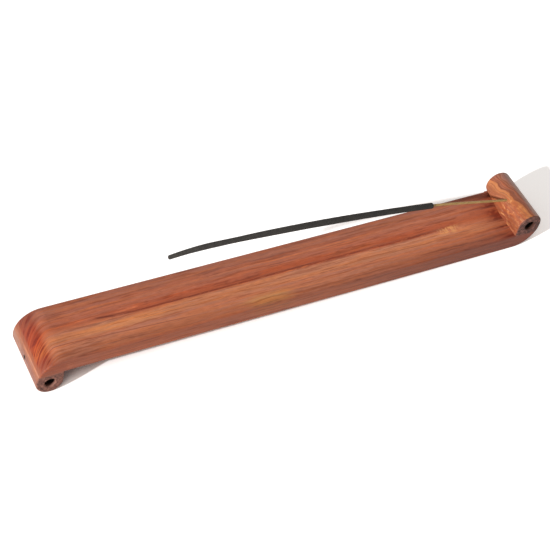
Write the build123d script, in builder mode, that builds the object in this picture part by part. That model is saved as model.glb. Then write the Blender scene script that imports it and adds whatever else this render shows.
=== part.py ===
import os
from math import acos, asin, atan2, cos, degrees, hypot, radians, sin, sqrt

from build123d import *

# Driving dimensions, in millimetres and degrees

# Board, and the two scrolls glued to its ends
overall_length = 290.0
board_width = 36.0
board_thickness = 9.2
nose_radius = 15.0
scroll_radius = 7.25
toe_reach = 0.3
undercut_length = 19.0
undercut_margin = 2.0
edge_round = 1.0
rest_flat_depth = 0.15

# Eyes drilled into the ends of the scrolls
eye_diameter = 5.8
eye_depth = 11.0
eye_chamfer = 0.3

# Ash groove in the top of the board
groove_margin = 38.0
groove_width = 4.8
groove_depth = 0.8
groove_offset = 2.2
groove_runout = 26.0
cutter_overrun = 1.5

# Brads that pin the scrolls to the board
brad_diameter = 1.2
brad_length = 18.0
brad_entry_angle = 17.0
brad_slope = 35.0
brad_sink = 0.8
brad_clearance = 0.03

# Socket in the upper scroll, and the incense stick in it
core_diameter = 1.4
socket_clearance = 0.05
socket_depth = 9.0
socket_height = 4.3
socket_slope = 14.0
seat_gap = 0.3
bare_length = 50.6
neck_length = 10.6
neck_bow_radius = 130.0
paste_bow_radius = 1110.0
tip_bow_radius = 137.0
paste_diameter = 3.3
paste_shoulder_length = 3.0
paste_shoulder_round = 1.1
paste_body_length = 127.0
paste_tip_length = 25.0
paste_tip_diameter = 2.4
paste_tip_round = 1.0
core_tip_cover = 8.0
bond_gap = 0.02

# Outline of the S, worked out from the sizes above
half_board = board_thickness / 2
nose_x = overall_length / 2 - nose_radius
scroll_x = overall_length / 2 - scroll_radius
scroll_z = nose_radius - half_board
spiral_step = nose_radius - scroll_radius
seam_drop = scroll_z - half_board
diagonal = sqrt(0.5)

# The holder stands on its foot scroll and on the curl of its board, which leans the board
lean_rise = 2 * scroll_z
lean_run = scroll_x + nose_x
lean = acos(spiral_step / hypot(lean_rise, lean_run)) - atan2(lean_run, lean_rise)
board_height = scroll_radius - rest_flat_depth + scroll_z * cos(lean) - scroll_x * sin(lean)

along_board = Vector(cos(lean), 0, -sin(lean))
above_board = Vector(sin(lean), 0, cos(lean))
to_front = Vector(0, -1, 0)
board_centre = Vector(0, 0, board_height)
board_plane = Plane(origin=board_centre, x_dir=along_board, z_dir=to_front)
top_face = Plane(origin=board_centre + above_board * half_board, x_dir=along_board, z_dir=above_board)
under_face = Plane(origin=board_centre - above_board * half_board, x_dir=along_board, z_dir=above_board)
floor = Plane.XY

# The upper scroll is on the +X end, and the foot scroll is the same end turned half round
upper_end = 1
foot_end = -1


# A point of one end, given from its scroll's centre: x outwards, y away from the board
def outline_point(end, x, y):
    return (end * (scroll_x + x), end * (scroll_z + y))


def end_point(end, x, y):
    return board_plane.from_local_coords((*outline_point(end, x, y), 0))


def end_direction(end, x, y):
    return (along_board * x + above_board * y) * end


# One half of the S: the board's face, its curled nose, and the scroll with its upright inner face
def half_outline(end):
    nose_start = (end * nose_x, -end * half_board)
    nose_middle = outline_point(end, nose_radius * diagonal - spiral_step, -nose_radius * diagonal)
    outermost = outline_point(end, scroll_radius, 0)
    crown = outline_point(end, 0, scroll_radius)
    innermost = outline_point(end, -scroll_radius, 0)
    toe = outline_point(end, -scroll_radius - toe_reach, -seam_drop)
    opposite_nose_start = (-end * nose_x, end * half_board)
    ThreePointArc(nose_start, nose_middle, outermost)
    RadiusArc(outermost, crown, -scroll_radius)
    RadiusArc(crown, innermost, -scroll_radius)
    Line(innermost, toe)
    Line(toe, opposite_nose_start)


# The glued-up S, square and with its rim rounded over. The seams part it into its three wooden pieces.
with BuildPart() as square_blank:
    with BuildSketch(board_plane):
        with BuildLine():
            half_outline(upper_end)
            half_outline(foot_end)
        make_face()
    extrude(amount=board_width / 2, both=True)

with BuildPart() as rounded_blank:
    add(square_blank.part)
    fillet(rounded_blank.faces().filter_by(Axis.Y).edges(), radius=edge_round)


# Brads, driven through each scroll at a slant into the board
entry_angle = radians(brad_entry_angle)
entry_radius = sqrt(nose_radius**2 - (spiral_step * sin(entry_angle)) ** 2) - spiral_step * cos(entry_angle)
brad_run = (-cos(radians(brad_slope)), -sin(radians(brad_slope)))


def brad_plane(end, depth):
    x = entry_radius * cos(entry_angle) + depth * brad_run[0]
    y = -entry_radius * sin(entry_angle) + depth * brad_run[1]
    return Plane(origin=end_point(end, x, y), x_dir=to_front, z_dir=end_direction(end, *brad_run))


with BuildPart() as scroll_brads:
    for end in (upper_end, foot_end):
        with BuildSketch(brad_plane(end, brad_sink)):
            Circle(brad_diameter / 2)
        extrude(amount=brad_length)


# The hole that a brad makes, open at the surface that it was driven into
def cut_brad_hole(end):
    with BuildSketch(brad_plane(end, brad_sink + brad_length)) as hole:
        Circle(brad_diameter / 2 + brad_clearance)
    extrude(hole.sketch, amount=-(brad_sink + brad_length + scroll_radius), mode=Mode.SUBTRACT)


# The hollow that frees the far half of the upper scroll's inner face, run out to nothing at its toe
with BuildPart() as toe_undercut:
    far_face = Plane(origin=board_centre - to_front * board_width / 2, x_dir=along_board, z_dir=to_front)
    with BuildSketch(far_face) as undercut_mouth:
        with BuildLine():
            innermost = outline_point(upper_end, -scroll_radius, 0)
            crevice = outline_point(upper_end, -sqrt(scroll_radius**2 - seam_drop**2), -seam_drop)
            RadiusArc(innermost, crevice, -scroll_radius)
            Polyline(
                crevice,
                outline_point(upper_end, -scroll_radius - undercut_margin, -seam_drop),
                outline_point(upper_end, -scroll_radius - undercut_margin, 0),
                innermost,
            )
        make_face()
    runout = end_point(upper_end, -scroll_radius - toe_reach, -seam_drop)
    runout -= to_front * (board_width / 2 - undercut_length)
    loft(sections=[undercut_mouth.sketch.face(), Vertex(runout)], ruled=True)


# A blind eye in the middle of each end of a scroll
def drill_eyes(end):
    for face_side in (-1, 1):
        eye_centre = end_point(end, 0, 0) + to_front * face_side * board_width / 2
        with Locations(Plane(origin=eye_centre, x_dir=along_board, z_dir=to_front * face_side)):
            CounterSinkHole(
                radius=eye_diameter / 2,
                counter_sink_radius=eye_diameter / 2 + eye_chamfer,
                depth=eye_depth,
            )


# Line of the stick: straight in the socket and over most of its bare stretch, bent at the neck where the
# paste starts, then one long sagging arc that droops more at the tip
stick_angle = radians(socket_slope)
stick_out = end_direction(upper_end, -cos(stick_angle), sin(stick_angle))
socket_mouth = end_point(upper_end, -sqrt(scroll_radius**2 - socket_height**2), socket_height)
socket_bottom = socket_mouth - stick_out * socket_depth
stick_foot = socket_bottom + stick_out * seat_gap
neck_start = socket_mouth + stick_out * (bare_length - neck_length)


# An arc that goes on from the end of the line before it
def bow_on(line_before, radius, length):
    return JernArc(line_before @ 1, line_before % 1, radius, degrees(length / radius))


with BuildLine(board_plane) as stick_line:
    socket_run = Line(stick_foot, neck_start)
    neck_bow = bow_on(socket_run, neck_bow_radius, neck_length)
    shoulder_run = Line(neck_bow @ 1, neck_bow @ 1 + neck_bow % 1 * paste_shoulder_length)
    paste_bow = bow_on(shoulder_run, paste_bow_radius, paste_body_length)
    bow_on(paste_bow, tip_bow_radius, paste_tip_length - core_tip_cover)

with BuildLine(board_plane):
    tip_bow = bow_on(paste_bow, tip_bow_radius, paste_tip_length)


# The plane square to the stick where one of its runs starts or ends
def stick_plane(run, place):
    return Plane(origin=run @ place, x_dir=to_front, z_dir=run % place)


# A round rod along the stick's line
def stick_rod(radius):
    with BuildPart() as rod:
        with BuildSketch(Plane(origin=stick_foot, x_dir=to_front, z_dir=stick_out)):
            Circle(radius)
        sweep(path=stick_line.line)
    return rod.part


# Cutter of the ash groove: a round nose that dips in over a long run, goes level and lifts out again
cutter_radius = (groove_width**2 / 4 + groove_depth**2) / (2 * groove_depth)
runout_radius = (groove_runout**2 + groove_depth**2) / (2 * groove_depth)
cutter_turn = cutter_overrun * degrees(asin(groove_runout / runout_radius))
lowest_point_angle = 270.0
groove_end = overall_length / 2 - groove_margin
cutter_top = half_board + cutter_radius
groove_plane = Plane(origin=board_centre - to_front * groove_offset, x_dir=along_board, z_dir=to_front)

with BuildPart() as groove_cutter:
    with BuildLine(groove_plane) as cutter_line:
        dip = CenterArc(
            (groove_runout - groove_end, cutter_top - groove_depth + runout_radius),
            runout_radius,
            lowest_point_angle - cutter_turn,
            cutter_turn,
        )
        level = Line(dip @ 1, dip @ 1 + along_board * 2 * (groove_end - groove_runout))
        JernArc(level @ 1, level % 1, runout_radius, cutter_turn)
    with BuildSketch(Plane(origin=dip @ 0, x_dir=to_front, z_dir=dip % 0)):
        Circle(cutter_radius)
    sweep(path=cutter_line.line)

# The wooden pieces

with BuildPart() as tray_board:
    add(rounded_blank.part)
    split(bisect_by=top_face, keep=Keep.BOTTOM)
    split(bisect_by=under_face, keep=Keep.TOP)
    split(bisect_by=floor, keep=Keep.TOP)
    add(groove_cutter.part, mode=Mode.SUBTRACT)
    for end in (upper_end, foot_end):
        cut_brad_hole(end)

with BuildPart() as upper_scroll:
    add(square_blank.part)
    split(bisect_by=top_face, keep=Keep.TOP)
    add(toe_undercut.part, mode=Mode.SUBTRACT)
    seam = upper_scroll.faces().sort_by(Axis.Z)[0]
    rims = upper_scroll.faces().filter_by(Axis.Y).edges()
    fillet(rims - seam.edges(), radius=edge_round)
    drill_eyes(upper_end)
    cut_brad_hole(upper_end)
    with BuildSketch(Plane(origin=socket_bottom, x_dir=to_front, z_dir=stick_out)):
        Circle(core_diameter / 2 + socket_clearance)
    extrude(amount=socket_depth + scroll_radius, mode=Mode.SUBTRACT)

with BuildPart() as foot_scroll:
    add(rounded_blank.part)
    split(bisect_by=under_face, keep=Keep.BOTTOM)
    split(bisect_by=floor, keep=Keep.TOP)
    drill_eyes(foot_end)
    cut_brad_hole(foot_end)

# The incense stick: a bamboo core, and the paste rolled on it with a blunt shoulder and a drawn-out tip

with BuildPart() as incense_core:
    add(stick_rod(core_diameter / 2))

with BuildPart() as incense_paste:
    with BuildSketch(stick_plane(shoulder_run, 0)):
        Circle(paste_diameter / 2)
    extrude(amount=paste_shoulder_length)
    with BuildSketch(stick_plane(paste_bow, 0)):
        Circle(paste_diameter / 2)
    sweep(path=paste_bow)
    with BuildSketch(stick_plane(tip_bow, 0)):
        Circle(paste_diameter / 2)
    with BuildSketch(stick_plane(tip_bow, 1)):
        Circle(paste_tip_diameter / 2)
    sweep(path=tip_bow, multisection=True)
    flat_ends = incense_paste.faces().filter_by(GeomType.PLANE).sort_by(Axis.X)
    fillet(flat_ends[0].edges(), radius=paste_tip_round)
    fillet(flat_ends[-1].edges(), radius=paste_shoulder_round)
    add(stick_rod(core_diameter / 2 + bond_gap), mode=Mode.SUBTRACT)

# One file for each piece

os.makedirs("parts", exist_ok=True)
pieces = {
    "tray_board": tray_board,
    "upper_scroll": upper_scroll,
    "foot_scroll": foot_scroll,
    "scroll_brads": scroll_brads,
    "incense_core": incense_core,
    "incense_paste": incense_paste,
}
for name, piece in pieces.items():
    piece.part.label = name
    export_step(piece.part, f"parts/{name}.step")

print(f"board leans {degrees(lean):.2f} degrees, its middle stands {board_height:.2f} mm high")
print(f"stick slides along ({stick_out.X:.5f}, {stick_out.Y:.5f}, {stick_out.Z:.5f})")
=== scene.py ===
import math

import bpy
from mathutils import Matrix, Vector


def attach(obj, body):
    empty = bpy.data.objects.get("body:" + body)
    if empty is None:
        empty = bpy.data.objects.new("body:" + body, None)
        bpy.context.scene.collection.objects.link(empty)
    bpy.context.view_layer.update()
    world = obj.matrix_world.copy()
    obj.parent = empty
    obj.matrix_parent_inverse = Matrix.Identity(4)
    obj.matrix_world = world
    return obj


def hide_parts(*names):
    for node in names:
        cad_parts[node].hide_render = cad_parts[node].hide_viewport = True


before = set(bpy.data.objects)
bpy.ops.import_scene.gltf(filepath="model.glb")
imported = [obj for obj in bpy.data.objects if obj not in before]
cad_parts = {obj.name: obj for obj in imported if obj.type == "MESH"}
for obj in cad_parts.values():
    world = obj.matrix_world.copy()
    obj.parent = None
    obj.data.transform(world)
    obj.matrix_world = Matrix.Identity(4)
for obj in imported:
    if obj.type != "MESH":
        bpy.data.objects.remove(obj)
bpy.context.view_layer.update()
print("frame loaded")

board = {  # millimetres, from the middle of the leaning board
    "lean": 2.7884,  # degrees
    "height": 10.7865,  # its middle above the floor
    "halfWidth": 18.0,
    "halfThickness": 4.6,
    "noseX": 130.0,  # where its ends start to curl
}
scroll = {"x": 137.75, "z": 10.4, "radius": 7.25}  # the upper one, the foot is its twin turned half round


def linear(red, green, blue):
    def channel(value):
        value /= 255
        return value / 12.92 if value <= 0.04045 else ((value + 0.055) / 1.055) ** 2.4

    return (channel(red), channel(green), channel(blue), 1.0)


def feed(tree, socket, value):
    if isinstance(value, bpy.types.NodeSocket):
        tree.links.new(value, socket)
    else:
        socket.default_value = value


def addNode(tree, kind, inputs=None, **settings):
    node = tree.nodes.new(kind)
    for name, value in settings.items():
        setattr(node, name, value)
    for name, value in (inputs or {}).items():
        feed(tree, node.inputs[name], value)
    return node


def calc(tree, operation, *values, clamp=False):
    node = addNode(tree, "ShaderNodeMath", operation=operation, use_clamp=clamp)
    for socket, value in zip(node.inputs, values):
        feed(tree, socket, value)
    return node.outputs[0]


def product(tree, *values):
    result = values[0]
    for value in values[1:]:
        result = calc(tree, "MULTIPLY", result, value)
    return result


def spread(tree, value, low, high, outLow=0.0, outHigh=1.0):
    node = addNode(tree, "ShaderNodeMapRange", interpolation_type="SMOOTHSTEP")
    for socket, number in zip(node.inputs, (value, low, high, outLow, outHigh)):
        feed(tree, socket, number)
    return node.outputs[0]


def window(tree, value, low, high, soft):
    rise = spread(tree, value, low - soft, low + soft)
    fall = spread(tree, value, high - soft, high + soft, 1.0, 0.0)
    return product(tree, rise, fall)


def swung(tree, value, pattern, reach):
    return calc(tree, "ADD", value, calc(tree, "MULTIPLY_ADD", pattern, reach, -reach / 2))


def fromLine(tree, x, value, slope, level):
    return calc(tree, "SUBTRACT", value, calc(tree, "MULTIPLY_ADD", x, slope, level))


def distance(tree, first, second):
    return calc(tree, "SQRT", calc(tree, "MULTIPLY_ADD", first, first, product(tree, second, second)))


def combine(tree, x, y, z):
    return addNode(tree, "ShaderNodeCombineXYZ", {"X": x, "Y": y, "Z": z}).outputs[0]


def separate(tree, vector):
    return addNode(tree, "ShaderNodeSeparateXYZ", {"Vector": vector}).outputs


def noise(tree, vector, scale, detail, roughness=0.5, distortion=0.0):
    inputs = {"Vector": vector, "Scale": scale, "Detail": detail, "Roughness": roughness}
    return addNode(tree, "ShaderNodeTexNoise", dict(inputs, Distortion=distortion)).outputs["Fac"]


def stretched(tree, vector, factors, *settings):
    scaled = addNode(tree, "ShaderNodeVectorMath", operation="MULTIPLY")
    feed(tree, scaled.inputs[0], vector)
    feed(tree, scaled.inputs[1], factors)
    return noise(tree, scaled.outputs[0], 1.0, *settings)


def speckled(tree, vector, pattern):
    return spread(tree, stretched(tree, vector, *pattern["noise"]), *pattern["limits"])


def ramp(tree, factor, stops):
    node = addNode(tree, "ShaderNodeValToRGB", {"Fac": factor})
    elements = node.color_ramp.elements
    while len(elements) < len(stops):
        elements.new(0.5)
    for element, (spot, tone) in zip(elements, stops):
        element.position = spot
        element.color = linear(*tone)
    return node.outputs["Color"]


def layered(tree, layer, stops):
    low, high = stops[0][0], stops[-1][0]
    share = calc(tree, "DIVIDE", calc(tree, "SUBTRACT", layer, low), high - low)
    return ramp(tree, share, [((spot - low) / (high - low), tone) for spot, tone in stops])


def mixed(tree, factor, first, second, mode="MIX"):
    node = addNode(tree, "ShaderNodeMix", data_type="RGBA", blend_type=mode)
    feed(tree, node.inputs[0], factor)
    feed(tree, node.inputs[6], first)  # the colour sockets share their names with others
    feed(tree, node.inputs[7], second)
    return node.outputs[2]


def shaded(tree, colour, value):
    return mixed(tree, 1.0, colour, combine(tree, value, value, value), "MULTIPLY")


def toned(tree, colour, mask, amount, tone):
    return mixed(tree, product(tree, mask, amount), colour, linear(*tone))


def patch(tree, x, y, mark, *masks):
    return product(tree, window(tree, x, *mark["x"]), window(tree, y, *mark["y"]), *masks)


def marked(tree, colour, x, y, mark, *masks):
    return toned(tree, colour, patch(tree, x, y, mark, *masks), *mark["paint"])


def bumped(tree, height, strength, depth):
    inputs = {"Height": height, "Strength": strength, "Distance": depth}
    return addNode(tree, "ShaderNodeBump", inputs).outputs["Normal"]


def newGroup(name, inputs, outputs):
    tree = bpy.data.node_groups.new(name, "ShaderNodeTree")
    for label, kind in inputs.items():
        tree.interface.new_socket(name=label, in_out="INPUT", socket_type=kind)
    for label, kind in outputs.items():
        tree.interface.new_socket(name=label, in_out="OUTPUT", socket_type=kind)
    return tree, tree.nodes.new("NodeGroupInput").outputs, tree.nodes.new("NodeGroupOutput").inputs


def useGroup(tree, group, **inputs):
    node = addNode(tree, "ShaderNodeGroup", node_tree=group)
    for name, value in inputs.items():
        feed(tree, node.inputs[name], value)
    return node.outputs


def newMaterial(name):
    material = bpy.data.materials.new(name)
    material.use_nodes = True
    tree = material.node_tree
    return material, tree, tree.nodes["Principled BSDF"].inputs


def makeBoardPlace():
    tree, _, made = newGroup("boardPlace", {}, {"Place": "NodeSocketVector"})
    spot = addNode(tree, "ShaderNodeTexCoord").outputs["Object"]
    turned = addNode(tree, "ShaderNodeMapping", {"Vector": spot}, vector_type="TEXTURE")
    turned.inputs["Location"].default_value = (0.0, 0.0, board["height"] / 1000)
    turned.inputs["Rotation"].default_value = (0.0, math.radians(board["lean"]), 0.0)
    turned.inputs["Scale"].default_value = (0.001, 0.001, 0.001)  # millimetres from here on
    feed(tree, made["Place"], turned.outputs[0])
    return tree


# a noise is its repeats in a millimetre along, through and across the grain, its detail and roughness
woodLook = {
    "sway": ((0.012, 0.05, 0.05), 1.0, 0.5),
    "swayReach": 3.2,  # millimetres
    "ripple": ((0.09, 0.2, 0.12), 2.0, 0.55),
    "rippleReach": 1.6,
    "bands": ((0.026, 0.55, 0.06), 3.0, 0.62),
    "bandStrength": 0.5,
    "lines": {"noise": ((0.042, 1.0, 0.12), 2.0, 0.6), "limits": (0.52, 0.63)},
    "lineTint": (0.44, 0.3, 0.24, 1.0),
    "fibres": ((0.17, 1.6, 0.45), 4.0, 0.68),
    "fibreStrength": 0.55,
    "figure": ((0.24, 0.62, 0.4), 3.0, 0.65),
    "figureStrength": 0.4,
    "hue": ((0.04, 0.8, 0.1), 2.0, 0.6, 0.3),  # and how far it is distorted
    "hueLimits": (0.36, 0.64),
    "hueTints": ((1.08, 0.98, 0.82, 1.0), (0.95, 1.01, 1.14, 1.0)),
    "pores": {"noise": ((0.25, 3.0, 2.4), 2.0, 0.5), "limits": (0.58, 0.7)},
    "poreStrength": 0.2,
    "roughness": 0.47,
    "fibreRoughness": 0.16,
    "sawnRoughness": 0.2,
    "specular": 0.24,
    "fibreRelief": 0.7,
    "flakeRelief": 1.5,
    "bump": (0.3, 0.0001),  # strength, and depth in metres
}


def makeGrain():
    labels = ("Layer", "Bands", "Lines", "Fibres", "Hue", "Pores", "Figure")
    outputs = {label: "NodeSocketFloat" for label in labels}
    tree, given, made = newGroup("woodGrain", {"Place": "NodeSocketVector"}, outputs)
    place = given["Place"]  # x along the grain, y through its layers, z across it
    along, layer, across = separate(tree, place)
    sway = stretched(tree, place, *woodLook["sway"])
    ripple = stretched(tree, place, *woodLook["ripple"])
    layer = swung(tree, layer, sway, woodLook["swayReach"])
    layer = swung(tree, layer, ripple, woodLook["rippleReach"])
    flow = combine(tree, along, layer, across)
    feed(tree, made["Layer"], layer)
    for label in ("Bands", "Fibres", "Hue", "Figure"):
        feed(tree, made[label], stretched(tree, flow, *woodLook[label.lower()]))
    for label in ("Lines", "Pores"):
        feed(tree, made[label], speckled(tree, flow, woodLook[label.lower()]))
    return tree


boardPlace = makeBoardPlace()
woodGrain = makeGrain()


def grained(tree, colour, grain, lines, fibres):
    tone = calc(tree, "MULTIPLY_ADD", grain["Pores"], -woodLook["poreStrength"], 1.0)
    strengths = {"Bands": woodLook["bandStrength"], "Fibres": fibres, "Figure": woodLook["figureStrength"]}
    for label, strength in strengths.items():
        swing = calc(tree, "SUBTRACT", grain[label], 0.5)
        tone = product(tree, tone, calc(tree, "MULTIPLY_ADD", swing, strength, 1.0))
    hue = mixed(tree, spread(tree, grain["Hue"], *woodLook["hueLimits"]), *woodLook["hueTints"])
    colour = mixed(tree, 1.0, colour, hue, "MULTIPLY")
    colour = mixed(tree, product(tree, grain["Lines"], lines), colour, woodLook["lineTint"], "MULTIPLY")
    return shaded(tree, colour, tone)


def finishWood(tree, shader, colour, grain, flakes, sawn):
    feed(tree, shader["Base Color"], colour)
    rough = calc(tree, "MULTIPLY_ADD", grain["Fibres"], woodLook["fibreRoughness"], woodLook["roughness"])
    feed(tree, shader["Roughness"], calc(tree, "MULTIPLY_ADD", sawn, woodLook["sawnRoughness"], rough))
    shader["Specular IOR Level"].default_value = woodLook["specular"]
    relief = calc(tree, "SUBTRACT", product(tree, grain["Fibres"], woodLook["fibreRelief"]), grain["Pores"])
    relief = calc(tree, "MULTIPLY_ADD", flakes, woodLook["flakeRelief"], relief)
    feed(tree, shader["Normal"], bumped(tree, relief, *woodLook["bump"]))


boardLook = {
    "dipStart": 0.3,  # millimetres down, where the growth layers start to dip
    "dip": 1.3,  # towards the front, for each millimetre further down
    "layers": [  # millimetres through the growth layers, and the tone there
        (-20.0, (158, 92, 64)),
        (-15.0, (161, 95, 67)),
        (-12.0, (177, 108, 77)),
        (-9.0, (178, 108, 79)),
        (-6.0, (184, 114, 77)),
        (-3.0, (185, 115, 81)),
        (-0.6, (176, 103, 72)),
        (2.0, (166, 88, 58)),
        (6.0, (168, 94, 67)),
        (8.4, (170, 98, 70)),
        (9.3, (178, 103, 71)),
        (10.4, (162, 92, 67)),
        (12.3, (155, 90, 67)),
        (13.4, (164, 98, 72)),
        (18.0, (150, 86, 64)),
        (24.0, (160, 86, 58)),
        (32.0, (140, 70, 48)),
        (40.0, (156, 84, 58)),
    ],
    "marks": {  # from, to and softness along the board, the same across it or its line, strength and tone
        "warm": {"x": (-116.0, -72.0, 12.0), "y": (-7.4, -2.8, 1.4), "paint": (0.5, (204, 132, 84))},
        "stripe": {"x": (-141.0, -60.0, 9.0), "y": (-0.2, 0.2, 0.2), "paint": (0.75, (120, 56, 36))},
        "yellow": {"x": (-28.0, -6.0, 6.0), "y": (-24.0, -10.5, 2.0), "paint": (0.6, (176, 116, 66))},
        "honey": {"x": (-32.0, -8.0, 6.0), "y": (-14.4, -12.6, 0.9), "paint": (0.4, (206, 144, 88))},
        "ember": {"x": (70.0, 128.0, 18.0), "y": (-11.5, -8.5, 1.2), "paint": (0.3, (164, 88, 56))},
        "shade": {"x": (88.0, 108.0, 6.0), "y": (-8.4, -5.2, 1.2), "paint": (0.4, (140, 70, 46))},
        # painted shade: the groove's hollow darkened where it is sunk
        "trough": {"x": (-112.0, 112.0, 2.0), "y": (-0.4, 4.9, 0.25), "paint": (0.7, (158, 75, 45))},
        # painted shade: dark line along the groove's steep near wall
        "lip": {"x": (-90.0, 94.0, 10.0), "y": (-0.5, 1.0, 0.4), "paint": (0.75, (126, 40, 8))},
        "blush": {"x": (12.0, 88.0, 12.0), "y": (-1.4, 0.8, 0.6), "paint": (0.3, (172, 72, 32))},
        "hollow": {"x": (-92.0, -70.0, 6.0), "y": (-1.8, -0.3, 0.6), "paint": (0.35, (150, 78, 50))},
        # painted highlight: light band along the ridge just in front of the groove
        "rim": {"x": (-75.0, 92.0, 10.0), "y": (-2.9, -1.6, 0.5), "paint": (0.28, (206, 138, 100))},
        "glints": {"x": (-70.0, 92.0, 8.0), "y": (-1.3, 0.6, 0.5), "paint": (0.6, (200, 112, 66))},
        # painted shade: dark line along the near wall of the groove's tapered left end
        "scorch": {"x": (-108.0, -97.0, 2.5), "y": (-0.7, 0.7, 0.5), "paint": (0.75, (112, 44, 26))},
        "glow": {"x": (-124.0, -84.0, 5.0), "y": (2.6, 4.0, 0.7), "paint": (0.5, (198, 106, 68))},
        "spark": {"x": (-96.0, -85.0, 2.5), "y": (2.5, 3.4, 0.5), "paint": (0.7, (218, 126, 84))},
        "pale": {"x": (-109.0, -101.0, 3.0), "y": (-2.4, -0.9, 0.7), "paint": (0.4, (206, 142, 104))},
        "bright": {"x": (27.0, 53.0, 6.0), "y": (1.9, 4.1, 0.8), "paint": (0.3, (200, 112, 66))},
        "chips": {"x": (90.0, 102.0, 4.0), "y": (-4.0, 0.6, 1.3), "paint": (0.8, (206, 144, 94))},
    },
    "stripeLine": (-0.058, -15.85),  # slope along the board, and place at its middle
    "stripeStart": -125.0,  # it runs straight beyond this
    "scorchLine": (-0.19, -17.8),
    "dusk": {"x": (10.0, 110.0), "y": (-7.0, -15.0), "paint": (0.7, (130, 68, 48))},  # grows to the near right corner; partly the wood's tone, partly painted shade where the light falls off
    "top": (4.0, 3.0),  # millimetres down, where the marks round the groove are gone, and where full
    "troughDepth": (0.03, 0.25),
    "worn": ((0.05, 0.4, 0.0), 2.0, 0.6),  # a noise that breaks up the painted shade in and along the groove; repeats in a millimetre each way, detail and roughness
    "troughWear": (0.25, 0.65, 0.5, 1.0),
    "lipWear": (0.28, 0.48),
    "lipBend": (30.0, 60.0, 0.0, 0.5),  # the lip comes forward between these places along the board
    "glints": {"noise": ((0.16, 0.7, 0.0), 2.0, 0.6), "limits": (0.54, 0.64)},
    "farEnd": {"x": (106.0, 128.0), "paint": (0.5, (134, 62, 39))},
    "stainX": (124.0, 141.0, 4.0),
    "stainBands": ((-4.2, 4.0, 1.0), (6.4, 9.0, 0.7), (-10.0, -8.4, 0.7), (-17.6, -15.6, 0.7)),
    "stains": {"noise": ((0.22, 0.3, 0.3), 2.0, 0.5), "limits": (0.28, 0.5)},
    "stainPaint": (0.85, (104, 36, 21)),
    "chips": {"noise": ((0.75, 0.3, 0.8), 2.0, 0.6), "limits": (0.4, 0.6)},
    "lines": 0.5,  # how strong the growth lines are
}
noseLook = {  # the board's curl over the foot
    "soft": 2.0,
    "depth": (0.1, 2.2),
    "layers": [  # millimetres across the board
        (-18.0, (130, 64, 44)),
        (-14.0, (122, 50, 30)),
        (-11.5, (138, 52, 24)),
        (-8.5, (164, 76, 28)),
        (-5.0, (158, 68, 26)),
        (-1.0, (146, 54, 22)),
        (8.0, (138, 50, 22)),
        (12.0, (122, 54, 34)),
        (18.0, (112, 60, 46)),
    ],
    "strength": 0.85,
    "streaks": {"noise": ((0.03, 0.7, 0.03), 2.0, 0.6), "limits": (0.47, 0.58)},
    "streakGaps": {"noise": ((0.07, 0.22, 0.09), 2.0, 0.5), "limits": (0.36, 0.58, 0.35, 1.0)},
    "streakZ": (-4.0, -1.5),
    "streakPaint": (0.8, (98, 20, 8)),
    "lower": (  # paler and greyer lower down the curl, its own paler wood and a painted sheen; from and to, then strength and tone
        ((-1.3, -2.7), (0.75, (140, 82, 58))),
        ((-3.4, -4.4), (0.8, (146, 94, 74))),
    ),
    # painted highlight: a light line along the curl's seam with the foot
    "rubbedZ": (-4.7, -3.8, 0.4),
    "rubbedY": (12.0, -4.0),
    "rubbedPaint": (0.45, (196, 136, 106)),
    "lineLoss": 0.3,
    "fibreLoss": 0.35,
}
frontLook = {  # the board's front edge
    "y": (-17.0, -17.8),
    "layers": [(-130.0, (142, 74, 50)), (0.0, (134, 72, 48)), (120.0, (100, 50, 36))],  # along the board, darker towards the right end: partly the wood's tone, partly painted shade where the light falls off
    "strength": 0.75,
}


def markTop(tree, colour, place, depth, layer):
    look = boardLook
    marks = look["marks"]
    x, y, _ = separate(tree, place)
    colour = marked(tree, colour, x, layer, marks["warm"])
    stripeX = calc(tree, "MAXIMUM", x, look["stripeStart"])
    colour = marked(tree, colour, x, fromLine(tree, stripeX, layer, *look["stripeLine"]), marks["stripe"])
    colour = marked(tree, colour, x, layer, marks["yellow"])
    colour = marked(tree, colour, x, y, marks["honey"])
    # darker towards the near right corner: partly the wood's tone, partly painted shade where the light
    # falls off
    dusk = product(tree, spread(tree, x, *look["dusk"]["x"]), spread(tree, y, *look["dusk"]["y"]))
    colour = toned(tree, colour, dusk, *look["dusk"]["paint"])
    for name in ("ember", "shade"):
        colour = marked(tree, colour, x, y, marks[name])

    plain = colour
    # painted shade in the groove's hollow and along its near wall, broken up by a noise
    worn = stretched(tree, place, *look["worn"])
    sunk = spread(tree, depth, *look["troughDepth"])
    colour = marked(tree, colour, x, y, marks["trough"], sunk, spread(tree, worn, *look["troughWear"]))
    lipY = calc(tree, "ADD", y, spread(tree, x, *look["lipBend"]))
    # painted shade along the groove's near wall
    colour = marked(tree, colour, x, lipY, marks["lip"], spread(tree, worn, *look["lipWear"]))
    for name in ("blush", "hollow"):
        colour = marked(tree, colour, x, y, marks[name])
    # painted highlight along the ridge in front of the groove
    colour = marked(tree, colour, x, lipY, marks["rim"])
    colour = marked(tree, colour, x, y, marks["glints"], speckled(tree, place, look["glints"]))
    # painted shade along the near wall of the groove's tapered left end
    colour = marked(tree, colour, x, fromLine(tree, x, y, *look["scorchLine"]), marks["scorch"])
    for name in ("glow", "spark", "pale", "bright"):
        colour = marked(tree, colour, x, y, marks[name])
    top = spread(tree, depth, *look["top"])
    colour = mixed(tree, top, plain, colour)  # these marks stay off the underside

    stains = 0.0
    for band in look["stainBands"]:
        stains = calc(tree, "MAXIMUM", stains, window(tree, y, *band))
    stains = product(tree, stains, window(tree, x, *look["stainX"]), speckled(tree, place, look["stains"]))
    colour = toned(tree, colour, spread(tree, x, *look["farEnd"]["x"]), *look["farEnd"]["paint"])
    colour = toned(tree, colour, stains, *look["stainPaint"])
    chips = patch(tree, x, y, marks["chips"], speckled(tree, place, look["chips"]), top)
    return toned(tree, colour, chips, *marks["chips"]["paint"]), chips


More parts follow.
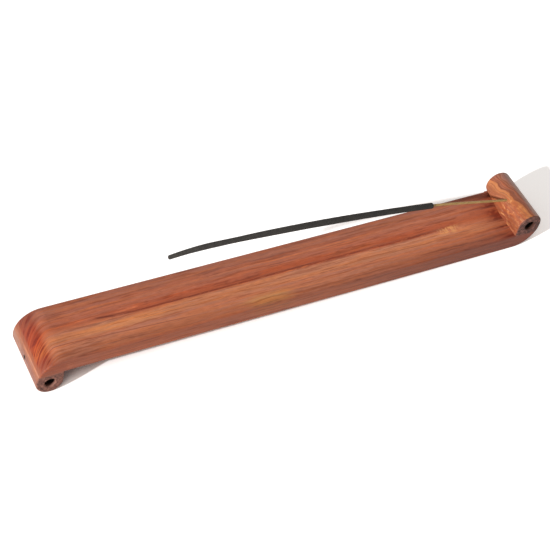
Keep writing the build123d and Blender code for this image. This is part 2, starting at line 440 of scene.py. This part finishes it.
def markNose(tree, colour, place, curl, left, flow):
    look = noseLook
    _, y, z = separate(tree, place)
    colour = mixed(tree, product(tree, curl, look["strength"]), colour, layered(tree, y, look["layers"]))
    streaks = product(tree, speckled(tree, flow, look["streaks"]), curl, spread(tree, z, *look["streakZ"]))
    streaks = product(tree, streaks, speckled(tree, place, look["streakGaps"]))
    colour = toned(tree, colour, streaks, *look["streakPaint"])
    # paler lower curl: the wood's own tone and a painted sheen
    for height, paint in look["lower"]:
        colour = toned(tree, colour, product(tree, left, spread(tree, z, *height)), *paint)
    # painted highlight along the curl's seam with the foot
    rubbed = product(tree, left, window(tree, z, *look["rubbedZ"]), spread(tree, y, *look["rubbedY"]))
    return toned(tree, colour, rubbed, *look["rubbedPaint"])


def makeBoardWood():
    material, tree, shader = newMaterial("boardWood")
    place = useGroup(tree, boardPlace)["Place"]
    x, y, z = separate(tree, place)
    depth = calc(tree, "SUBTRACT", board["halfThickness"], z)
    dipped = calc(tree, "MAXIMUM", calc(tree, "SUBTRACT", depth, boardLook["dipStart"]), 0.0)
    layer = calc(tree, "MULTIPLY_ADD", dipped, boardLook["dip"], y)
    flow = combine(tree, x, layer, z)
    grain = useGroup(tree, woodGrain, Place=flow)
    colour = layered(tree, grain["Layer"], boardLook["layers"])
    colour, chips = markTop(tree, colour, place, depth, layer)

    left = spread(tree, x, -board["noseX"] + noseLook["soft"], -board["noseX"] - noseLook["soft"])
    curl = product(tree, left, spread(tree, depth, *noseLook["depth"]))
    colour = markNose(tree, colour, place, curl, left, flow)
    # front edge darker towards the right end, partly painted shade where the light falls off
    front = product(tree, spread(tree, y, *frontLook["y"]), frontLook["strength"])
    colour = mixed(tree, front, colour, layered(tree, x, frontLook["layers"]))

    lines = calc(tree, "MULTIPLY_ADD", curl, -noseLook["lineLoss"], boardLook["lines"])
    fibres = calc(tree, "MULTIPLY_ADD", curl, -noseLook["fibreLoss"], woodLook["fibreStrength"])
    finishWood(tree, shader, grained(tree, colour, grain, lines, fibres), grain, chips, 0.0)
    return material


upperFinish = {
    "end": 1.0,
    "wear": 1.0,  # how far its near half is torn and flecked, and its back given a painted sheen
    "seam": 0.0,
    "layers": [  # millimetres through the growth layers
        (-9.0, (134, 73, 47)),
        (-4.5, (154, 88, 56)),
        (-2.4, (158, 94, 57)),
        (-0.6, (166, 103, 62)),
        (0.0, (168, 106, 66)),
        (0.4, (152, 90, 58)),
        (0.7, (116, 60, 40)),
        (1.1, (148, 86, 58)),
        (1.7, (154, 92, 64)),
        (2.1, (122, 66, 48)),
        (2.5, (150, 90, 66)),
        (3.2, (146, 86, 64)),
        (3.6, (120, 66, 50)),
        (4.0, (150, 94, 72)),
        (5.0, (154, 102, 82)),
        (9.0, (144, 98, 84)),
    ],
    "endGrain": [  # share of the mottle
        (0.34, (50, 33, 30)),
        (0.48, (88, 56, 49)),
        (0.58, (112, 70, 60)),
        (0.68, (142, 104, 92)),
    ],
    # painted shade on the bore's wall
    "eyeWall": (58, 36, 30),
}
footFinish = {
    "end": -1.0,
    "wear": 0.0,
    "seam": 0.9,
    "layers": [
        (-9.0, (128, 70, 50)),
        (-2.0, (142, 86, 64)),
        (1.0, (136, 88, 72)),
        (4.0, (142, 102, 88)),
        (9.0, (134, 96, 84)),
    ],
    "endGrain": [
        (0.34, (82, 54, 46)),
        (0.48, (120, 80, 69)),
        (0.58, (132, 85, 71)),
        (0.68, (164, 122, 108)),
    ],
    # painted light on the bore's wall, where light reaches in
    "eyeWall": (134, 94, 82),
}
scrollLook = {  # millimetres from the scroll's centre
    "tilt": (0.75, 0.65),  # how far the growth layers face outwards, and away from the board
    "slant": (0.14, -1.85),  # they climb along the scroll, and start here
    "bulge": (3.0, 10.0, 0.0, 1.4),  # and bulge towards its far end
    "wave": (0.16, 2.0, 0.5),  # scale, detail and roughness
    "waveReach": 3.2,
    "inner": (0.6, -0.6),  # layers of the side that faces the stick
    "nearHalf": (3.0, -3.0),
    "patches": {"noise": ((0.34, 0.24, 0.34), 3.0, 0.6), "limits": (0.4, 0.62)},
    "patchPaint": (0.5, (132, 62, 44)),
    "flecks": {"noise": ((0.72, 0.26, 0.64), 3.0, 0.65, 0.6), "limits": (0.48, 0.66)},
    "fleckFade": (-16.0, -4.0, 0.5, 1.0),
    "fleckPaint": (0.62, (206, 144, 94)),
    # painted highlight: a light line on the foot along its seam with the board
    "seam": (-4.3, -5.2),
    "seamTone": (150, 98, 76),
    "lines": (-0.25, 0.6),  # fainter on the inner side
    # painted sheen on the scroll's back, where it faces away at a grazing angle
    "backOut": (0.8, 3.4),
    "backRise": (2.0, 5.0),
    "backPaint": (0.5, (186, 158, 146)),
    "sawn": (0.7, 0.15),  # from the end
    "mottle": (0.8, 4.0, 0.7),
    "endLines": 0.25,
    # the bore: a painted tone on its wall, shaded in the upper scroll and lit in the foot, then painted
    # shade deeper in
    "eye": (3.2, 2.95),
    "eyeWall": 0.9,
    "eyeDepth": (0.4, 2.4),
    "eyePaint": (0.97, (14, 8, 6)),
    "bradRise": -2.17,
    "soot": (1.6, 1.05),  # round the brad
    "sootOut": (4.0, 5.0),
    "sootPaint": (0.9, (34, 22, 18)),
}


def markEnds(tree, colour, place, grain, out, rise, finish):
    look = scrollLook
    across = calc(tree, "ABSOLUTE", separate(tree, place)["Y"])
    fromEnd = calc(tree, "SUBTRACT", board["halfWidth"], across)
    sawn = spread(tree, fromEnd, *look["sawn"])
    endColour = ramp(tree, noise(tree, place, *look["mottle"]), finish["endGrain"])
    endColour = shaded(tree, endColour, calc(tree, "MULTIPLY_ADD", grain["Lines"], -look["endLines"], 1.0))
    colour = mixed(tree, sawn, colour, endColour)
    # painted light and shade on the bore's wall, then painted shade darkening deeper in
    eye = spread(tree, distance(tree, out, rise), *look["eye"])
    colour = toned(tree, colour, eye, look["eyeWall"], finish["eyeWall"])
    deep = product(tree, eye, spread(tree, fromEnd, *look["eyeDepth"]))
    return toned(tree, colour, deep, *look["eyePaint"]), sawn


def makeScrollWood(name, finish):
    material, tree, shader = newMaterial(name)
    look = scrollLook
    place = useGroup(tree, boardPlace)["Place"]
    x, y, z = separate(tree, place)
    out = calc(tree, "MULTIPLY_ADD", x, finish["end"], -scroll["x"])  # from the scroll's centre, outwards
    rise = calc(tree, "MULTIPLY_ADD", z, finish["end"], -scroll["z"])  # and away from the board
    facing, lifting = look["tilt"]
    layer = calc(tree, "MULTIPLY_ADD", out, facing, product(tree, rise, lifting))
    layer = calc(tree, "ADD", layer, calc(tree, "MULTIPLY_ADD", y, *look["slant"]))
    layer = calc(tree, "ADD", layer, spread(tree, y, *look["bulge"]))
    layer = swung(tree, layer, noise(tree, place, *look["wave"]), look["waveReach"])
    cross = calc(tree, "MULTIPLY_ADD", out, -lifting, product(tree, rise, facing))
    grain = useGroup(tree, woodGrain, Place=combine(tree, y, layer, cross))
    colour = layered(tree, grain["Layer"], finish["layers"])

    inner = spread(tree, layer, *look["inner"])
    torn = product(tree, inner, spread(tree, y, *look["nearHalf"]), finish["wear"])
    patches = product(tree, torn, speckled(tree, place, look["patches"]))
    colour = toned(tree, colour, patches, *look["patchPaint"])
    flecks = product(tree, torn, speckled(tree, place, look["flecks"]), spread(tree, y, *look["fleckFade"]))
    colour = toned(tree, colour, flecks, *look["fleckPaint"])
    # painted highlight along the foot's seam with the board
    colour = toned(tree, colour, spread(tree, rise, *look["seam"]), finish["seam"], look["seamTone"])
    lines = calc(tree, "MULTIPLY_ADD", inner, *look["lines"])
    colour = grained(tree, colour, grain, lines, woodLook["fibreStrength"])
    back = product(tree, spread(tree, out, *look["backOut"]), spread(tree, rise, *look["backRise"]))
    colour = toned(tree, colour, product(tree, back, finish["wear"]), *look["backPaint"])  # painted sheen, paler and greyer on the back

    colour, sawn = markEnds(tree, colour, place, grain, out, rise, finish)
    fromBrad = distance(tree, y, calc(tree, "SUBTRACT", rise, look["bradRise"]))
    soot = product(tree, spread(tree, fromBrad, *look["soot"]), spread(tree, out, *look["sootOut"]))
    colour = toned(tree, colour, soot, *look["sootPaint"])
    finishWood(tree, shader, colour, grain, flecks, sawn)
    return material


bambooLook = {
    "fibres": ((0.06, 4.0, 4.0), 3.0, 0.6),
    "tones": [(0.3, (124, 92, 48)), (0.55, (170, 134, 78)), (0.75, (192, 160, 106))],
    "stains": {"noise": ((0.12, 0.6, 0.6), 2.0, 0.5), "limits": (0.45, 0.65)},
    "stainPaint": (0.4, (132, 98, 48)),
    "roughness": 0.55,
    "bump": (0.4, 0.00006),
}


def makeBamboo():
    material, tree, shader = newMaterial("bamboo")
    place = useGroup(tree, boardPlace)["Place"]
    fibres = stretched(tree, place, *bambooLook["fibres"])
    colour = ramp(tree, fibres, bambooLook["tones"])
    stains = speckled(tree, place, bambooLook["stains"])
    feed(tree, shader["Base Color"], toned(tree, colour, stains, *bambooLook["stainPaint"]))
    shader["Roughness"].default_value = bambooLook["roughness"]
    feed(tree, shader["Normal"], bumped(tree, fibres, *bambooLook["bump"]))
    return material


pasteLook = {
    "grit": (2.2, 4.0, 0.7),
    "tones": [(0.3, (30, 28, 26)), (0.52, (52, 49, 46)), (0.75, (82, 78, 72))],
    "dust": (0.35, 2.0, 0.5),
    "dustLimits": (0.45, 0.7),
    "dustPaint": (0.35, (70, 66, 60)),
    "ash": (-100.0, 90.0, 1.15, 0.55),  # lighter towards the tip, darker towards the shoulder
    "roughness": 0.85,
    "specular": 0.3,
    "bump": (0.6, 0.00015),
}


def makePaste():
    material, tree, shader = newMaterial("charcoalPaste")
    place = useGroup(tree, boardPlace)["Place"]
    grit = noise(tree, place, *pasteLook["grit"])
    colour = ramp(tree, grit, pasteLook["tones"])
    dust = spread(tree, noise(tree, place, *pasteLook["dust"]), *pasteLook["dustLimits"])
    colour = toned(tree, colour, dust, *pasteLook["dustPaint"])
    ash = spread(tree, separate(tree, place)["X"], *pasteLook["ash"])
    feed(tree, shader["Base Color"], shaded(tree, colour, ash))
    shader["Roughness"].default_value = pasteLook["roughness"]
    shader["Specular IOR Level"].default_value = pasteLook["specular"]
    feed(tree, shader["Normal"], bumped(tree, grit, *pasteLook["bump"]))
    return material


bradLook = {
    "rust": (1.6, 4.0, 0.65),
    "tones": [(0.35, (48, 44, 42)), (0.6, (80, 66, 58))],
    "metallic": 0.8,
    "roughness": (0.3, 0.7, 0.4, 0.75),
}


def makeSteel():
    material, tree, shader = newMaterial("bradSteel")
    rust = noise(tree, useGroup(tree, boardPlace)["Place"], *bradLook["rust"])
    feed(tree, shader["Base Color"], ramp(tree, rust, bradLook["tones"]))
    shader["Metallic"].default_value = bradLook["metallic"]
    feed(tree, shader["Roughness"], spread(tree, rust, *bradLook["roughness"]))
    return material


finishes = {
    "tray_board": makeBoardWood(),
    "upper_scroll": makeScrollWood("upperScrollWood", upperFinish),
    "foot_scroll": makeScrollWood("footScrollWood", footFinish),
    "scroll_brads": makeSteel(),
}
bamboo = makeBamboo()
paste = makePaste()
print("materials made")

stick = {  # millimetres along its centre line, from the foot of the socket
    "mouthHeight": 4.3,  # above the scroll's centre
    "slope": 14.0,  # degrees to the board
    "seated": 8.7,
    "straight": 40.0,
    "neck": 10.6,
    "neckBow": 130.0,  # radius of the bend
    "shoulder": 3.0,
    "body": 127.0,
    "bodyBow": 1110.0,
    "tip": 25.0,
    "tipBow": 137.0,
    "coreCover": 8.0,  # paste beyond the core
    "step": 0.5,
    "slack": 1e-6,
}
pasteShape = {  # metres
    "Radius": 1.65e-3,
    "Shoulder Round": 1.1e-3,
    "Tip Radius": 1.2e-3,
    "Tip Length": 25.0e-3,
    "Tip Round": 1.0e-3,
    "Belly": 0.09,  # share of the radius
    "Belly Place": 66.0e-3,  # from the shoulder
    "Belly Length": 46.0e-3,
    "Waist": 0.1,
    "Waist Place": 120.0e-3,
    "Waist Length": 20.0e-3,
    "Lump Height": 0.11e-3,
    "Lump Scale": 160.0,
    "Grain Height": 0.07e-3,
    "Grain Scale": 950.0,
    "Ring Gap": 0.3e-3,
    "Sides": 36,
}
coreShape = {
    "Radius": 0.7e-3,
    "Shoulder Round": 0.12e-3,
    "Tip Radius": 0.68e-3,
    "Tip Length": 2.0e-3,
    "Tip Round": 0.12e-3,
    "Belly": 0.0,
    "Belly Place": 60.0e-3,
    "Belly Length": 40.0e-3,
    "Waist": 0.0,
    "Waist Place": 120.0e-3,
    "Waist Length": 20.0e-3,
    "Lump Height": 0.05e-3,
    "Lump Scale": 60.0,
    "Grain Height": 0.03e-3,
    "Grain Scale": 700.0,
    "Ring Gap": 0.5e-3,
    "Sides": 20,
}
lean = math.radians(board["lean"])
alongBoard = Vector((math.cos(lean), 0.0, -math.sin(lean)))
aboveBoard = Vector((math.sin(lean), 0.0, math.cos(lean)))


def boardPoint(x, y, z):
    place = alongBoard * x + aboveBoard * z + Vector((0.0, y, board["height"]))
    return place / 1000


def stickPoints(start, stop):
    runs = [  # length, and bend for each millimetre
        (stick["seated"] + stick["straight"], 0.0),
        (stick["neck"], 1 / stick["neckBow"]),
        (stick["shoulder"], 0.0),
        (stick["body"], 1 / stick["bodyBow"]),
        (stick["tip"], 1 / stick["tipBow"]),
    ]
    slope = math.radians(180.0 - stick["slope"])
    mouthX = scroll["x"] - math.sqrt(scroll["radius"] ** 2 - stick["mouthHeight"] ** 2)
    x = mouthX - math.cos(slope) * stick["seated"]
    z = scroll["z"] + stick["mouthHeight"] - math.sin(slope) * stick["seated"]
    points, travelled = [], 0.0
    for length, bend in runs:
        count = max(1, round(length / stick["step"]))
        for _ in range(count):
            if start - stick["slack"] <= travelled <= stop + stick["slack"]:
                points.append(boardPoint(x, 0.0, z))
            slope += bend * length / count / 2
            x += math.cos(slope) * length / count
            z += math.sin(slope) * length / count
            slope += bend * length / count / 2
            travelled += length / count
    if travelled <= stop + stick["slack"]:
        points.append(boardPoint(x, 0.0, z))
    return points


def makeRodTree(name, shape):
    tree = bpy.data.node_groups.new(name, "GeometryNodeTree")
    tree.is_modifier = True
    tree.interface.new_socket(name="Geometry", in_out="INPUT", socket_type="NodeSocketGeometry")
    for label, value in shape.items():
        kind = "NodeSocketInt" if isinstance(value, int) else "NodeSocketFloat"
        tree.interface.new_socket(name=label, in_out="INPUT", socket_type=kind)
    tree.interface.new_socket(name="Material", in_out="INPUT", socket_type="NodeSocketMaterial")
    tree.interface.new_socket(name="Geometry", in_out="OUTPUT", socket_type="NodeSocketGeometry")
    given = tree.nodes.new("NodeGroupInput").outputs
    made = tree.nodes.new("NodeGroupOutput").inputs
    line = addNode(tree, "GeometryNodeMeshToCurve", {"Mesh": given["Geometry"]}).outputs[0]
    inputs = {"Curve": line, "Length": given["Ring Gap"]}
    line = addNode(tree, "GeometryNodeResampleCurve", inputs, mode="LENGTH").outputs[0]
    travelled = addNode(tree, "GeometryNodeSplineParameter").outputs["Length"]
    total = addNode(tree, "GeometryNodeSplineLength").outputs["Length"]
    left = calc(tree, "SUBTRACT", total, travelled)

    def rounding(gone, radius, full):
        short = calc(tree, "SUBTRACT", 1.0, calc(tree, "DIVIDE", gone, radius, clamp=True))
        room = calc(tree, "SUBTRACT", 1.0001, product(tree, short, short))  # stays above zero
        arc = calc(tree, "SQRT", room)
        lost = product(tree, calc(tree, "SUBTRACT", 1.0, arc), calc(tree, "DIVIDE", radius, full))
        return calc(tree, "SUBTRACT", 1.0, lost)

    def swelling(label):
        offset = calc(tree, "SUBTRACT", travelled, given[label + " Place"])
        offset = calc(tree, "DIVIDE", offset, given[label + " Length"])
        hump = calc(tree, "SUBTRACT", 1.0, product(tree, offset, offset), clamp=True)
        return product(tree, hump, hump, given[label])

    slim = calc(tree, "DIVIDE", given["Tip Radius"], given["Radius"])
    body = calc(tree, "DIVIDE", left, given["Tip Length"], clamp=True)
    taper = calc(tree, "MULTIPLY_ADD", body, calc(tree, "SUBTRACT", 1.0, slim), slim)
    size = product(
        tree,
        taper,
        calc(tree, "ADD", 1.0, calc(tree, "SUBTRACT", swelling("Belly"), swelling("Waist"))),
        rounding(travelled, given["Shoulder Round"], given["Radius"]),
        rounding(left, given["Tip Round"], given["Tip Radius"]),
    )
    inputs = {"Resolution": given["Sides"], "Radius": given["Radius"]}
    ring = addNode(tree, "GeometryNodeCurvePrimitiveCircle", inputs).outputs[0]
    inputs = {"Curve": line, "Profile Curve": ring, "Scale": size, "Fill Caps": True}
    rod = addNode(tree, "GeometryNodeCurveToMesh", inputs).outputs[0]
    place = addNode(tree, "GeometryNodeInputPosition").outputs[0]
    outward = addNode(tree, "GeometryNodeInputNormal").outputs["Normal"]
    push = 0.0
    for label, detail in (("Lump", 1.0), ("Grain", 2.0)):
        rough = noise(tree, place, given[label + " Scale"], detail)
        inward = calc(tree, "SUBTRACT", rough, 0.75)  # so that hardly any of it stands proud
        push = calc(tree, "MULTIPLY_ADD", inward, given[label + " Height"], push)
    offset = addNode(tree, "ShaderNodeVectorMath", {"Scale": push}, operation="SCALE")
    feed(tree, offset.inputs[0], outward)
    inputs = {"Geometry": rod, "Offset": offset.outputs[0]}
    rod = addNode(tree, "GeometryNodeSetPosition", inputs).outputs[0]
    rod = addNode(tree, "GeometryNodeSetShadeSmooth", {"Geometry": rod}).outputs[0]
    rod = addNode(tree, "GeometryNodeRealizeInstances", {"Geometry": rod}).outputs[0]
    inputs = {"Geometry": rod, "Material": given["Material"]}
    feed(tree, made["Geometry"], addNode(tree, "GeometryNodeSetMaterial", inputs).outputs[0])
    return tree


def makeRod(name, points, shape, finish):
    line = bpy.data.meshes.new(name + "Line")
    line.from_pydata(points, [(i, i + 1) for i in range(len(points) - 1)], [])
    rod = bpy.data.objects.new(name, line)
    bpy.context.scene.collection.objects.link(rod)
    modifier = rod.modifiers.new("shape", "NODES")
    modifier.node_group = makeRodTree(name + "Shape", shape)
    values = dict(shape, Material=finish)
    for item in modifier.node_group.interface.items_tree:
        if item.in_out == "INPUT" and item.name in values:
            modifier[item.identifier] = values[item.name]
    bpy.context.view_layer.update()
    shown = rod.evaluated_get(bpy.context.evaluated_depsgraph_get())
    mesh = bpy.data.meshes.new_from_object(shown)
    rod.modifiers.remove(modifier)
    rod.data = mesh
    mesh.name = name
    return rod


stickEnd = sum(stick[part] for part in ("seated", "straight", "neck", "shoulder", "body", "tip"))
pasteStart = stick["seated"] + stick["straight"] + stick["neck"]
corePiece = makeRod("bambooCore", stickPoints(0.0, stickEnd - stick["coreCover"]), coreShape, bamboo)
pastePiece = makeRod("incensePaste", stickPoints(pasteStart, stickEnd), pasteShape, paste)
for piece, node, slotName in (
    (corePiece, "incense_core", "bamboo"),
    (pastePiece, "incense_paste", "charcoal_paste"),
):
    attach(piece, "incense_stick")
    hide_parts(node)
print("stick made")

for node, finish in finishes.items():
    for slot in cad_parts[node].material_slots:
        slot.material = finish
print("wood and brads finished")


def seenRay(tree):
    rays = addNode(tree, "ShaderNodeLightPath").outputs
    seen = calc(tree, "MAXIMUM", rays["Is Camera Ray"], rays["Is Glossy Ray"])
    return calc(tree, "MAXIMUM", seen, rays["Is Transmission Ray"])


ground = {
    "half": 3.0,
    "drop": 0.0002,
    "paper": (0.8, 0.79, 0.78, 1.0),
    "seenPaper": (1.0, 1.0, 1.0, 1.0),
    "crevice": (0.4, 0.6, 0.45, 1.0),  # painted shade: how open the floor is, and how dark it gets where it is hemmed in
    # a glow painted on the floor in place of fill light, fainter where it is hemmed in
    "lift": 0.33,
    "liftOpen": (0.54, 0.68),
    "liftTint": (1.0, 0.9, 0.82, 1.0),
    "reach": 0.06,  # how far away a thing still dims the fill glow and darkens the floor
    "fill": (-0.55, -0.55, 0.63),  # where the fill glow comes from
    "roughness": 0.9,
}


def makeFloor():
    mesh = bpy.data.meshes.new("floor")
    corners = ((-1, -1), (1, -1), (1, 1), (-1, 1))
    points = [(x * ground["half"], y * ground["half"], -ground["drop"]) for x, y in corners]
    mesh.from_pydata(points, [], [range(len(points))])
    floor = bpy.data.objects.new("floor", mesh)
    bpy.context.scene.collection.objects.link(floor)
    material, tree, shader = newMaterial("floorPaper")
    shader["Roughness"].default_value = ground["roughness"]
    shader["Specular IOR Level"].default_value = 0.0
    shader["Emission Color"].default_value = ground["liftTint"]
    seen = seenRay(tree)
    inputs = {"Distance": ground["reach"], "Normal": combine(tree, *ground["fill"])}
    openness = addNode(tree, "ShaderNodeAmbientOcclusion", inputs).outputs["AO"]
    # painted shade on the floor under and beside the holder, and a painted fill glow
    crevice = shaded(tree, ground["seenPaper"], spread(tree, openness, *ground["crevice"]))
    feed(tree, shader["Base Color"], mixed(tree, seen, ground["paper"], crevice))
    lift = product(tree, seen, ground["lift"], spread(tree, openness, *ground["liftOpen"]))
    feed(tree, shader["Emission Strength"], lift)
    mesh.materials.append(material)


light = {
    "keyStrength": 4.2,
    "keyAngle": 1.8,  # degrees across
    "keyHeading": -106.5,  # degrees, where the light comes from, 0 is +Y and -90 is -X
    "keyHeight": 26.0,
    "skyTint": (1.0, 1.0, 1.0, 1.0),
    "sky": 0.5,
    "seenSky": 1.0,
}


def makeLight():
    lamp = bpy.data.lights.new("key", "SUN")
    lamp.energy = light["keyStrength"]
    lamp.angle = math.radians(light["keyAngle"])
    key = bpy.data.objects.new("key", lamp)
    heading, height = math.radians(light["keyHeading"]), math.radians(light["keyHeight"])
    level = math.cos(height)
    source = Vector((math.sin(heading) * level, math.cos(heading) * level, math.sin(height)))
    key.rotation_euler = source.to_track_quat("Z", "Y").to_euler()
    key.location = source
    bpy.context.scene.collection.objects.link(key)
    world = bpy.data.worlds.new("studio")
    world.use_nodes = True
    tree = world.node_tree
    sky = tree.nodes["Background"].inputs
    sky["Color"].default_value = light["skyTint"]
    feed(tree, sky["Strength"], spread(tree, seenRay(tree), 0.0, 1.0, light["sky"], light["seenSky"]))
    bpy.context.scene.world = world


camera = {
    "location": (-0.286429, -0.4776, 0.651872),
    "rotation": (40.7458, -4.5722, -24.9883),  # degrees
    "lens": 105.62,
    "sensor": 36.0,
    "nearest": 0.01,
    "farthest": 20.0,
}


def makeCamera():
    lens = bpy.data.cameras.new("camera")
    lens.lens = camera["lens"]
    lens.sensor_width = camera["sensor"]
    lens.clip_start = camera["nearest"]
    lens.clip_end = camera["farthest"]
    eye = bpy.data.objects.new("camera", lens)
    eye.location = camera["location"]
    eye.rotation_euler = [math.radians(angle) for angle in camera["rotation"]]
    bpy.context.scene.collection.objects.link(eye)
    bpy.context.scene.camera = eye


makeFloor()
makeLight()
makeCamera()
bpy.context.scene.view_settings.view_transform = "Standard"
print("studio set up")
